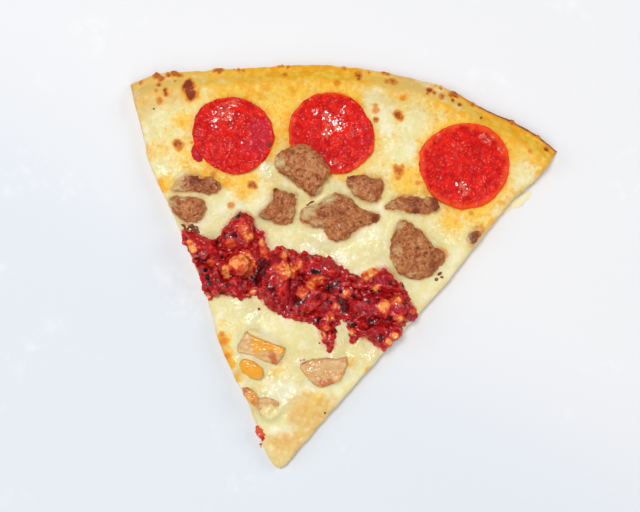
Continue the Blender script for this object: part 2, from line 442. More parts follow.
def crust_top(x, y):
    """Height of the dough, as the solid has it: even, with a low rim that rolls down outside."""
    share = plan_share(x, y)
    middle = 3.6 * MM + 1.6 * MM * ease(share / 0.35)
    uneven = 1 + 0.3 * waves(x, y, 28 * MM, 2.5)
    height = middle + 3.4 * MM * uneven * np.exp(-(((share - RIM_CREST) / 0.032) ** 2))
    outside = np.clip((share - RIM_CREST) / (1 - RIM_CREST), 0, 1)
    under = crust_underside(x, y)
    return under + (height - under) * (0.35 + 0.65 * np.sqrt(1 - outside**2))


def cheese_top(x, y):
    """Height of the cheese over the dough, as the solid has it."""
    share = plan_share(x, y)
    near_rim = ease((share - 0.8) / 0.14)
    thickness = 2.3 * MM - 1.2 * MM * near_rim - 0.5 * MM * (1 - ease(share / 0.2))
    thickness += 0.7 * MM * (1 - 0.6 * near_rim) * waves(x, y, 34 * MM, 5.5)
    return crust_top(x, y) + CHEESE_GAP + thickness


def field(x, y, places, raggedness=0.25, layer=0.0):
    """Sum at each point of round places (x, y, radius, amount) in mm, with ragged edges."""
    ragged = 1 + raggedness * waves(x, y, 2.2 * MM, 11.5 + layer)
    ragged += raggedness * waves(x, y, 5 * MM, 13.5 + layer)
    total = np.zeros_like(x)
    for place_x, place_y, radius, amount in places:
        away = np.hypot(x - place_x * MM, y - place_y * MM) / (radius * MM) * ragged
        total += amount * ease(1.25 - away)
    return total


def blister_fields(x, y):
    """Browning and height of the blisters at each point."""
    ragged = 1 + 0.45 * waves(x, y, 4.5 * MM, 3.5) + 0.2 * waves(x, y, 1.8 * MM, 3.9)
    browned = np.zeros_like(x)
    height = np.zeros_like(x)
    for place_x, place_y, radius, amount, rise in BLISTERS:
        away = np.hypot(x - place_x * MM, y - place_y * MM) / (radius * MM) * ragged
        browned = np.maximum(browned, amount * ease(1.35 - away))
        height = np.maximum(height, rise * MM * ease(1.2 - away))
    return browned, height


def points_of(piece):
    """A piece's vertices as an array."""
    values = np.empty(len(piece.data.vertices) * 3, np.float32)
    piece.data.vertices.foreach_get("co", values)
    return values.reshape(-1, 3).astype(float)


def set_points(piece, points):
    piece.data.vertices.foreach_set("co", points.astype(np.float32).ravel())
    piece.data.update()


def paint(piece, name, values):
    """Stores one number for each vertex, which a material reads."""
    layer = piece.data.attributes.get(name) or piece.data.attributes.new(name, "FLOAT", "POINT")
    layer.data.foreach_set("value", np.clip(values, -1, 1).astype(np.float32))


def paint_relief(piece, reach, depth):
    """Stores how far each vertex stands out from the surface around it, from -1 to 1."""
    mesh = piece.data
    points = points_of(piece)
    edges = np.empty(len(mesh.edges) * 2, int)
    mesh.edges.foreach_get("vertices", edges)
    a, b = edges.reshape(-1, 2).T
    count = np.bincount(a, minlength=len(points)) + np.bincount(b, minlength=len(points))
    smooth = points.copy()
    for _ in range(reach):
        total = np.zeros_like(smooth)
        for axis in range(3):
            total[:, axis] = np.bincount(a, smooth[b, axis], len(points))
            total[:, axis] += np.bincount(b, smooth[a, axis], len(points))
        smooth = 0.5 * smooth + 0.5 * total / np.maximum(count, 1)[:, None]
    normals = np.empty(len(mesh.vertices) * 3, np.float32)
    mesh.vertices.foreach_get("normal", normals)
    paint(piece, "relief", ((points - smooth) * normals.reshape(-1, 3)).sum(1) / depth)


def deselect_all():
    if bpy.context.mode != "OBJECT":
        bpy.ops.object.mode_set(mode="OBJECT")
    bpy.ops.object.select_all(action="DESELECT")


def make_active(piece):
    deselect_all()
    piece.select_set(True)
    bpy.context.view_layer.objects.active = piece
    return piece


def added(name):
    """The object that an operator has just added, under its name."""
    piece = bpy.context.active_object
    piece.name = name
    piece.data.name = name
    return piece


def copy_of(node, name):
    """A welded copy of a CAD node, to be modelled further."""
    piece = bpy.data.objects.new(name, NODES[node].data.copy())
    bpy.context.scene.collection.objects.link(piece)
    make_active(piece)
    bpy.ops.mesh.customdata_custom_splitnormals_clear()
    bpy.ops.object.mode_set(mode="EDIT")
    bpy.ops.mesh.select_all(action="SELECT")
    bpy.ops.mesh.remove_doubles(threshold=0.00001)
    bpy.ops.object.mode_set(mode="OBJECT")
    return piece


def apply_all(piece):
    make_active(piece)
    for modifier in list(piece.modifiers):
        bpy.ops.object.modifier_apply(modifier=modifier.name)


def rounded(piece, levels):
    modifier = piece.modifiers.new("Rounded", "SUBSURF")
    modifier.levels = levels
    modifier.render_levels = levels


def remeshed(piece, voxel):
    modifier = piece.modifiers.new("Even Mesh", "REMESH")
    modifier.mode = "VOXEL"
    modifier.voxel_size = voxel


def softened(piece, times):
    modifier = piece.modifiers.new("Soft", "SMOOTH")
    modifier.iterations = times


def roughened(piece, *layers):
    """Moves the surface in and out along its normals by cloudy noise, each layer (size, height)."""
    for size, height in layers:
        texture = bpy.data.textures.new(f"{piece.name}_{len(piece.modifiers)}", "CLOUDS")
        texture.noise_scale = size * MM
        modifier = piece.modifiers.new("Rough", "DISPLACE")
        modifier.texture = texture
        modifier.strength = height * MM


def finish_piece(piece, finish, slot, *nodes):
    """Gives a piece its material, and its place on the slice."""
    piece.data.materials.clear()
    piece.data.materials.append(finish)
    for polygon in piece.data.polygons:
        polygon.material_index = 0
    piece.data.shade_smooth()
    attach(piece, BODY)
    if nodes:
        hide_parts(*nodes)
    return piece


class Finish:
    """A material whose every call adds a node and returns its output."""

    def __init__(self, name, coat=0.0, coat_roughness=0.1, shine=0.5, roughness=0.5, coat_ior=1.5):
        self.material = bpy.data.materials.new(name)
        self.material.use_nodes = True
        self.tree = self.material.node_tree
        self.shader = self.tree.nodes["Principled BSDF"]
        self.place = self.tree.nodes.new("ShaderNodeTexCoord").outputs["Object"]
        self.set({
            "Coat Weight": coat, "Coat Roughness": coat_roughness, "Coat IOR": coat_ior,
            "Specular IOR Level": shine, "Roughness": roughness})

    def set(self, values):
        for socket, value in values.items():
            self.shader.inputs[socket].default_value = value

    def soft(self, weight, red, green, blue):
        """Lets light into the surface, by so many mm for each colour."""
        self.set({
            "Subsurface Weight": weight, "Subsurface Radius": (red, green, blue), "Subsurface Scale": MM})

    def node(self, kind, values=None, **settings):
        made = self.tree.nodes.new(kind)
        for name, value in settings.items():
            setattr(made, name, value)
        for socket, value in (values or {}).items():
            self.feed(made.inputs[socket], value)
        return made

    def feed(self, socket, value):
        if isinstance(value, bpy.types.NodeSocket):
            self.tree.links.new(value, socket)
        elif socket.type == "RGBA":
            socket.default_value = (*value, 1)
        else:
            socket.default_value = value

    def grain(self, millimetres, detail=3, layer=0, place=None):
        """Noise from 0 to 1 whose features are so many mm across."""
        return self.node("ShaderNodeTexNoise", {
            "Vector": place or self.place, "W": layer, "Scale": 1000 / millimetres,
            "Detail": detail, "Roughness": 0.55}, noise_dimensions="4D").outputs["Fac"]

    def cells(self, millimetres, output="Distance"):
        """Cells so many mm across: how far from a cell's middle, or the cell's own shade."""
        return self.node("ShaderNodeTexVoronoi", {
            "Vector": self.place, "Scale": 1000 / millimetres}).outputs[output]

    def maths(self, operation, *values):
        return self.node("ShaderNodeMath", dict(enumerate(values)), operation=operation).outputs[0]

    def times(self, a, b):
        return self.maths("MULTIPLY", a, b)

    def uneven(self, value, *noises):
        """The value with noises added: (up to half of this either way, mm, detail, layer)."""
        for amount, *noise in noises:
            share = self.maths("MULTIPLY_ADD", self.grain(*noise), amount, -amount / 2)
            value = self.maths("ADD", value, share)
        return value

    def painted(self, name, *noises):
        """A number painted on the mesh, made uneven by these noises."""
        return self.uneven(self.node("ShaderNodeAttribute", attribute_name=name).outputs["Fac"], *noises)

    def band(self, value, low, high, bottom=0, top=1):
        """`bottom` where value is below low, `top` above high, and a smooth step between."""
        return self.node("ShaderNodeMapRange", {
            "Value": value, "From Min": low, "From Max": high, "To Min": bottom, "To Max": top,
        }, interpolation_type="SMOOTHSTEP").outputs["Result"]

    def layered(self, base, *layers):
        """A base colour with others laid over it in turn, each as (share, colour)."""
        for share, over in layers:
            base = self.node("ShaderNodeMix", {0: share, 6: base, 7: over}, data_type="RGBA").outputs[2]
        return base

    def bumped(self, height, millimetres, below=None):
        """Fine relief that the mesh is too coarse for."""
        made = self.node("ShaderNodeBump", {"Height": height, "Distance": millimetres * MM})
        if below:
            self.feed(made.inputs["Normal"], below)
        return made.outputs["Normal"]

    def done(self, base, roughness=None, normal=None, coat=None, gloss=None):
        """Links what the finish has to its shader; `gloss` is the relief of its coat alone."""
        for socket, output in (
            ("Base Color", base), ("Coat Weight", coat), ("Roughness", roughness),
            ("Normal", normal), ("Coat Normal", gloss or normal),
        ):
            if output:
                self.tree.links.new(output, self.shader.inputs[socket])
        return self.material


def blisters(f):
    """The orange ring and the dark heart of browned blisters, as layers."""
    browned = f.painted("browned")
    for size, layer, low in ((2.4, 4, 0.8), (1, 5, 0.86)):
        browned = f.times(browned, f.band(f.grain(size, 2, layer), 0.3, 0.7, low, 1.16))
    return (
        (f.band(browned, 0.03, 0.45, 0, 0.9), colours().blister_ring),
        (f.band(browned, 0.45, 0.85, 0, 0.95), colours().blister_heart),
    )


def rim_colour(f):
    """The baked rim's colour, for the dough and for the thin cheese at its edge alike."""
    c = colours()
    gold = f.painted("gold", (0.7, 6, 4, 0.5), (0.5, 1.8, 3, 1.1))
    oil = f.times(f.band(gold, 0.3, 0.9), f.band(f.grain(4, 3, 3), 0.36, 0.6, 0.1))
    freckles = f.times(f.band(f.grain(1.5, 4, 16), 0.5, 0.66, 0, 0.5), f.band(gold, 0.1, 0.7, 0.2))
    pale = f.times(f.band(f.grain(7, 4, 2.5), 0.52, 0.7, 0, 0.5), f.band(gold, 1.1, 0.3))
    toast = f.painted("crisp", (0.5, 3.5, 4, 1), (0.4, 1.2, 3, 2.1))
    return f.layered(
        c.dough, (f.band(gold, 0.1, 0.9), c.golden_cheese), (oil, c.amber_oil), (freckles, c.amber_oil),
        (pale, c.cream_cheese), (f.band(toast, 0.15, 0.7), c.toasted_dough),
        (f.band(toast, 0.7, 1.05), c.burnt_dough))


def cheese_finish():
    c = colours()
    f = Finish("melted_cheese", coat_roughness=0.14, shine=0.15)
    f.soft(0.2, 3, 1.8, 0.7)
    golden = f.painted("golden", (0.7, 8, 4, 1), (0.7, 2.4, 4, 1.5), (0.5, 0.9, 2, 1.8))
    pale = f.times(f.band(f.grain(7, 4, 2), 0.44, 0.7, 0, 0.8), f.band(golden, 0.9, 0.2))
    oil = f.times(f.band(f.grain(5.5, 4, 3), 0.5, 0.7), f.band(golden, 0.4, 1.1))
    freckles = f.times(f.band(f.grain(1.5, 4, 16), 0.5, 0.66, 0, 0.6), f.band(golden, 0.1, 0.7, 0.05))
    whites = f.times(f.band(f.grain(1.9, 4, 17), 0.52, 0.68, 0, 0.5), f.band(golden, 1.3, 0.5, 0.2))
    hollow = f.times(f.band(f.painted("relief"), -0.05, -0.6), f.band(golden, 0.2, 0.8, 0.1, 0.8))
    toast = f.painted("toasted", (0.6, 6, 4, 6), (0.7, 2.2, 4, 6.5))
    bread = f.layered(
        c.dough, (f.band(f.grain(4.5, 4, 14), 0.38, 0.64, 0, 0.45), c.toasted_dough),
        (f.band(f.grain(3.2, 4, 18), 0.45, 0.75, 0, 0.4), c.cream_cheese))
    stain = f.painted("sauce", (0.9, 1.6, 3, 7))
    juice = f.painted("juice", (0.8, 2.4, 3, 8.5))
    rim = f.band(f.painted("rim", (0.7, 5, 3, 9.5)), 0.25, 0.75)
    base = f.layered(
        c.white_cheese, (f.band(golden, 0, 1.2), c.golden_cheese), (pale, c.cream_cheese),
        (f.band(golden, 0, -0.7, 0, 0.9), c.cream_cheese), (oil, c.amber_oil), (freckles, c.amber_oil),
        (whites, c.cream_cheese), (hollow, c.amber_oil), (f.band(toast, 0, 1.1, 0, 0.9), bread),
        (f.band(stain, 0.3, 0.8, 0, 0.45), c.spice_bright), (f.band(stain, 0.75, 1), c.spice_red),
        (f.band(juice, 0.45, 1.1, 0, 0.8), c.sausage_light), (rim, rim_colour(f)), *blisters(f))
    coat = f.band(f.painted("wet", (0.5, 3.5, 2, 12)), 0.1, 1, 0.02, 0.9)
    roughness = f.band(f.grain(2.4, 3, 8), 0.3, 0.7, 0.34, 0.52)
    normal = f.bumped(f.grain(0.5, 2, 10), 0.08, f.bumped(f.grain(1.3, 3, 9), 0.3))
    return f.done(base, roughness, normal, coat, f.bumped(f.grain(1.7, 1.5, 15), 0.5))


def crust_finish():
    c = colours()
    f = Finish("baked_crust", coat=0.02, coat_roughness=0.4, shine=0.15)
    f.soft(0.08, 2, 1.2, 0.5)
    crumb = f.layered(c.toasted_dough, (f.band(f.cells(1.6), 0.15, 0.5), c.crumb))
    under = f.layered(
        c.toasted_dough, (f.band(f.grain(6, 4, 2), 0.5, 0.64, 0, 0.8), c.burnt_dough),
        (f.band(f.grain(11, 5, 3), 0.45, 0.7, 0, 0.75), c.dough),
        (f.band(f.grain(1.2, 4, 4), 0.56, 0.72, 0, 0.5), c.flour))
    base = f.layered(
        rim_colour(f), (f.band(f.painted("cut"), 0.2, 0.8), crumb), (f.painted("under"), under),
        *blisters(f), (f.band(f.painted("relief"), -0.1, -0.7, 0, 0.35), c.toasted_dough))
    return f.done(base, f.band(f.grain(3, 3, 6), 0.3, 0.7, 0.5, 0.75), f.bumped(f.grain(0.8, 4, 5), 0.2))


def pepperoni_finish():
    c = colours()
    f = Finish("pepperoni_meat", coat_roughness=0.12, shine=0.12, coat_ior=2.1)
    f.soft(0.08, 2.5, 0.6, 0.4)
    flecks = f.times(f.band(f.cells(1.6), 0.42, 0.12), f.band(f.grain(2.8, 2, 2), 0.4, 0.56, 0, 0.6))
    dots = f.times(f.band(f.cells(1.1), 0.36, 0.14), f.band(f.grain(2.2, 2, 7), 0.46, 0.58, 0, 0.4))
    rim = f.painted("rim", (0.4, 3, 2, 5))
    violet = f.painted("violet", (0.9, 2.6, 4, 6), (0.6, 0.9, 2, 6.5))
    oily = f.painted("oily", (0.5, 1.8, 2, 8))
    beads = f.times(f.band(oily, 0.2, 0.8), f.band(f.cells(1.4, "Color"), 0.4, 0.7, 0, 0.5))
    base = f.layered(
        c.pepperoni_dark, (f.band(f.grain(3.4, 5, 1), 0.4, 0.6), c.pepperoni_red),
        (f.band(f.grain(8, 3, 9), 0.45, 0.65, 0, 0.3), c.pepperoni_dark),
        (flecks, c.pepperoni_fat), (dots, c.pepperoni_pale),
        (f.band(rim, 0.82, 0.98, 0, 0.85), c.pepperoni_fat),
        (f.band(violet, 0.35, 1.5, 0, 0.85), c.pepperoni_violet),
        (f.band(f.painted("charred"), 0.3, 0.8), c.blister_heart), (beads, c.pepperoni_pale))
    coat = f.times(f.band(oily, 0.15, 0.6, 0.05), f.band(f.grain(1.2, 2, 20), 0.42, 0.56))
    normal = f.bumped(f.cells(0.9), 0.12, f.bumped(f.grain(1, 3, 4), 0.25))
    return f.done(base, f.band(oily, 0.1, 0.8, 0.5, 0.4), normal, coat, f.bumped(f.grain(1.4, 1, 4), 0.34))


def sausage_finish():
    c = colours()
    f = Finish("sausage_meat", coat=0.35, coat_roughness=0.18, shine=0.12)
    f.soft(0.08, 2, 1, 0.6)
    relief = f.painted("relief")
    seared = f.painted("seared", (0.6, 2.4, 3, 7))
    specks = f.times(f.band(f.cells(1.3), 0.14, 0.08), f.band(f.grain(2.6, 1, 3), 0.54, 0.6))
    film = f.painted("creamed", (0.7, 3, 3, 6), (0.5, 1, 2, 6.5))
    foot = f.painted("foot", (0.5, 2.2, 3, 9))
    base = f.layered(
        c.sausage_brown, (f.band(f.cells(1.5, "Color"), 0.3, 0.7, 0, 0.7), c.sausage_light),
        (f.band(f.grain(2.2, 5, 1), 0.44, 0.7, 0, 0.6), c.sausage_light),
        (f.band(f.grain(6, 4, 2), 0.44, 0.66, 0, 0.65), c.sausage_shade),
        (f.band(relief, -0.05, -0.6, 0, 0.85), c.sausage_dark),
        (f.band(relief, 0.2, 0.6, 0, 0.4), c.sausage_light),
        (f.band(seared, 0.2, 0.9, 0, 0.85), c.sausage_seared), (specks, c.pepper),
        (f.band(film, 0.1, 1.1, 0, 0.7), c.white_cheese),
        (f.band(foot, 0.35, 0.85, 0, 0.7), c.white_cheese))
    normal = f.bumped(f.cells(1.5), 0.3, f.bumped(f.grain(0.8, 4, 5), 0.4))
    gloss = f.bumped(f.grain(1.8, 2, 11), 0.5)
    return f.done(base, f.band(f.grain(1.6, 2, 4), 0.3, 0.7, 0.42, 0.7), normal, None, gloss)


def red_chicken_finish():
    c = colours()
    f = Finish("red_chicken_meat", coat_roughness=0.12, shine=0.1, coat_ior=1.8)
    f.soft(0.06, 2, 0.5, 0.4)
    relief = f.painted("relief", (1.2, 3.2, 3, 1), (1.2, 8, 3, 1.7))
    shade = f.times(f.painted("shaded"), f.band(f.grain(3, 3, 7), 0.3, 0.65, 0.4, 1.5))
    flesh = f.times(f.painted("flesh"), f.band(f.grain(2.8, 4, 2), 0.3, 0.65, 0.45, 1.25))
    burnt = f.times(f.painted("charred"), f.band(f.grain(1.4, 3, 3), 0.3, 0.6, 0.75, 1.1))
    base = f.layered(
        c.spice_dark, (f.band(relief, -0.55, 0.15), c.spice_red),
        (f.band(relief, 0.15, 0.6, 0, 0.85), c.spice_bright),
        (f.band(f.grain(7, 3, 6), 0.5, 0.64, 0, 0.6), c.spice_rose),
        (f.band(shade, 0.1, 0.7, 0, 0.92), c.spice_dark),
        (f.band(flesh, 0.15, 0.5, 0, 0.85), c.spice_orange),
        (f.band(flesh, 0.6, 1.05), c.red_flesh), (f.band(burnt, 0.4, 0.65), c.char))
    normal = f.bumped(f.grain(1, 4, 4), 0.35)
    coat = f.band(f.grain(2.2, 2, 8), 0.46, 0.6, 0.05, 0.8)
    roughness = f.band(f.grain(1.5, 2, 5), 0.3, 0.7, 0.4, 0.65)
    return f.done(base, roughness, normal, coat, f.bumped(f.grain(1.8, 2, 6), 0.5))


def grilled_chicken_finish():
    c = colours()
    f = Finish("grilled_chicken_meat", coat_roughness=0.15, shine=0.15)
    f.soft(0.25, 2.5, 1.4, 0.7)
    along = f.node("ShaderNodeMapping", {
        "Vector": f.place, "Scale": (0.3, 1.4, 1), "Rotation": (0, 0, math.radians(35))})
    fibre = f.grain(2.2, 4, 1, along.outputs["Vector"])
    gold = f.painted("golden", (0.6, 3.5, 3, 2), (0.4, 1.2, 3, 2.5))
    grilled = f.painted("grilled", (0.6, 2.2, 3, 3), (0.4, 0.9, 2, 3.5))
    foot = f.painted("foot", (0.7, 2.4, 3, 9))
    base = f.layered(
        c.chicken_pale, (f.band(f.uneven(fibre, (0.5, 5, 3, 5)), 0.3, 0.8), c.chicken_light),
        (f.band(gold, 0.15, 0.95, 0, 0.9), c.chicken_gold),
        (f.band(grilled, 0.25, 1, 0, 0.9), c.chicken_grilled),
        (f.band(f.painted("relief"), 0, -0.8, 0, 0.5), c.chicken_grilled),
        (f.band(foot, 0.75, 1.15, 0, 0.75), c.white_cheese))
    coat = f.band(f.grain(3, 3, 6), 0.42, 0.56, 0.05, 0.9)
    roughness = f.band(f.grain(2, 2, 4), 0.3, 0.7, 0.35, 0.55)
    return f.done(base, roughness, f.bumped(fibre, 0.35), coat, f.bumped(f.grain(2, 2, 7), 0.5))


def drip_finish():
    c = colours()
    f = Finish("cheese_drip", coat=0.1, coat_roughness=0.2, shine=0.2)
    f.soft(0.1, 1, 0.8, 0.5)
    base = f.layered(c.drip, (f.band(f.grain(4), 0.35, 0.65), c.cream_cheese))
    return f.done(base, None, f.bumped(f.grain(1.5), 0.15))


def pepper_finish():
    f = Finish("ground_pepper", roughness=0.7)
    base = f.layered(colours().pepper, (f.grain(0.5, 2), colours().sausage_dark))
    return f.done(base, None, f.bumped(f.grain(0.3), 0.1))


def slab(name, rows, side_rows):
    """A triangular slab, subdivided; heights 0 to 1 between its two faces."""
    deselect_all()
    bpy.ops.mesh.primitive_circle_add(vertices=3, radius=1, fill_type="NGON")
    piece = added(name)
    bpy.ops.object.mode_set(mode="EDIT")
    coarse = 16  # rows of the first of two subdivisions
    bpy.ops.mesh.subdivide(number_cuts=coarse - 1)
    bpy.ops.mesh.subdivide(number_cuts=round(rows / coarse) - 1)
    bpy.ops.mesh.select_all(action="SELECT")
    bpy.ops.mesh.extrude_region_move(TRANSFORM_OT_translate={"value": (0, 0, 1)})
    bpy.ops.mesh.select_all(action="DESELECT")
    bm = bmesh.from_edit_mesh(piece.data)
    for edge in bm.edges:
        low, high = edge.verts
        edge.select_set(abs(low.co.z - high.co.z) > 0.5)
    bmesh.update_edit_mesh(piece.data)
    bpy.ops.mesh.subdivide(number_cuts=side_rows - 1)
    bpy.ops.mesh.select_all(action="SELECT")
    bpy.ops.mesh.normals_make_consistent(inside=False)
    bpy.ops.object.mode_set(mode="OBJECT")
    return piece


def slab_places(piece):
    """For each vertex of a slab: its way from tip to rim, from left to right, and up, 0 to 1."""
    x, y, up = points_of(piece).T
    way = np.clip((1 - y) / 1.5, 0, 1)
    across = np.clip(0.5 + x / math.sqrt(3) / np.maximum(way, 1e-6), 0, 1)
    return way, across, up


def plan_places(share, across, left_inset, right_inset, outer):
    """Places in the plan, from the tip, with the cut sides moved in by so many metres."""
    left, right = through(LEFT_CUT, share), through(RIGHT_CUT, share)
    angle = left + (right - left) * across
    radius = share * outer * through(OUTER_EDGE, angle) * MM
    low = left + np.degrees(left_inset / np.maximum(radius, MM))
    high = right - np.degrees(right_inset / np.maximum(radius, MM))
    angle = np.radians(low + (high - low) * across)
    return radius * np.sin(angle), radius * np.cos(angle)


def edge_distance(x, y):
    """How far inside the nearest cut side each place is, in metres."""
    share = plan_share(x, y)
    angle = np.degrees(np.arctan2(x, y))
    low, high = through(LEFT_CUT, share), through(RIGHT_CUT, share)
    return np.hypot(x, y) * np.radians(np.minimum(angle - low, high - angle))


def rim_crisp(x, y):
    """How far the rim has browned: most in a thin line along its outer edge on the right."""
    share = plan_share(x, y)
    angle = np.degrees(np.arctan2(x, y))
    right = ease((angle - 10) / 10)
    browned = 0.12 * ease((share - 0.975) / 0.02) + 0.75 * right * ease((share - 0.993) / 0.006)
    return browned + 0.1 * right * ease((share - 0.96) / 0.03)


def rim_gold(x, y):
    """How golden the dough is at the rim: pale on the left, and a paler stretch right of the middle."""
    return through(RIM_GOLD, np.degrees(np.arctan2(x, y)))


class PIZZA_OT_crust(bpy.types.Operator):
    """Models the baked dough, with its rim, blisters, open crumb and browned underside"""

    bl_idname = "pizza.crust"
    bl_label = "Crust"

    def execute(self, context):
        s = sizes()
        piece = slab("baked_crust", s.crust_rows, 9)
        way, across, up = slab_places(piece)
        share = way * (1.3 - 0.3 * way)
        inset = s.cut_slope * ease(up)
        x, y = plan_places(share, across, inset, inset, 1)
        browned, blister = blister_fields(x, y)
        crisp = field(x, y, RIM_CRISPS, 0.5, 1)
        # The top has blisters and a knobbly rim; the underside is slightly uneven
        low, high = crust_underside(x, y), crust_top(x, y)
        high += blister * ease((share - 0.85) / 0.1)
        high += 0.35 * MM * ease((share - 0.9) / 0.06) * waves(x, y, 7 * MM, 21.5)
        high += 0.5 * MM * crisp * ease((share - 0.96) / 0.02)
        z = low + (high - low) * up
        z += np.where((up < 0.01) & (share < 0.96), 0.12 * MM * (1 + waves(x, y, 5 * MM, 8.5)), 0)
        # Pores of the open crumb go into both cut faces
        side = (up > 0.01) & (up < 0.99)
        on_rim = way > 0.999
        angle = np.arctan2(x, y)
        pores = waves(x, y, 1.9 * MM, 4.5, z) + 0.6 * waves(x, y, 0.9 * MM, 6.5, z)
        inward = s.crumb_depth * np.where(side & ~on_rim, ease(pores - 0.05) + 0.15, 0)
        direction = np.where(across < 0.5, 1, -1)
        x = x + direction * inward * np.cos(angle)
        y = y - direction * inward * np.sin(angle)
        # The outer edge bulges, raggedly
        rim_out = np.where(side & on_rim, 0.5 * MM * np.sin(np.pi * up) ** 0.7, 0)
        ragged = 0.4 * waves(x, y, 6 * MM, 23.5) + 0.3 * waves(x, y, 2.4 * MM, 25.5)
        rim_out += ease((share - UNDER_CURL) / 0.035) * MM * (ragged + 0.8 * crisp * ease(up * 2))
        x, y = x + rim_out * np.sin(angle), y + rim_out * np.cos(angle)
        y = np.minimum(y, CAD_BOX[1][1] - TIP.y + PAST_OUTLINE)
        set_points(piece, np.stack([x, y, z], axis=1) + np.array([TIP.x, TIP.y, 0]))
        cut = ~on_rim & (up > 0.14) & (up <= 0.99) & (edge_distance(x, y) < 1.2 * MM)
        paint(piece, "cut", 1.0 * cut)
        paint(piece, "under", np.where(on_rim, ease(0.6 - up * 1.5), ease(1.6 - up * 4.5)))
        browned = np.maximum(browned * (share > 0.8), field(x, y, RIM_CRISPS, 0.5, 1))
        paint(piece, "browned", browned * ease(up * 2))
        paint(piece, "crisp", rim_crisp(x, y))
        paint(piece, "gold", rim_gold(x, y))
        paint_relief(piece, 6, 0.25 * MM)
        finish_piece(piece, crust_finish(), "baked_crust", "crust")
        return {"FINISHED"}


def tree_of(names):
    """A search tree of these solids, and the kind of topping that each face is of."""
    points, faces, kinds = [], [], []
    for name in names:
        mesh = NODES[name].data
        start = len(points)
        points.extend(vert.co.copy() for vert in mesh.vertices)
        for polygon in mesh.polygons:
            faces.append([start + i for i in polygon.vertices])
            kinds.append(name.split("_")[0])
    return BVHTree.FromPolygons(points, faces), kinds


def within(x, y, corners):
    """Whether a place is inside the outline through these corners."""
    ax, ay = corners.T
    bx, by = np.roll(corners, -1, axis=0).T
    spans = (ay > y) != (by > y)
    crossing = ax[spans] + (y - ay[spans]) / (by - ay)[spans] * (bx - ax)[spans]
    return np.count_nonzero(crossing > x) % 2 == 1


def distances(names, points, reach):
    """Distance from each point to these solids, or `reach` if they are further."""
    tree, _ = tree_of(names)
    away = np.full(len(points), reach)
    for i, point in enumerate(points):
        found = tree.find_nearest(Vector(point), reach)
        if found[0] is not None:
            away[i] = found[3]
    return away


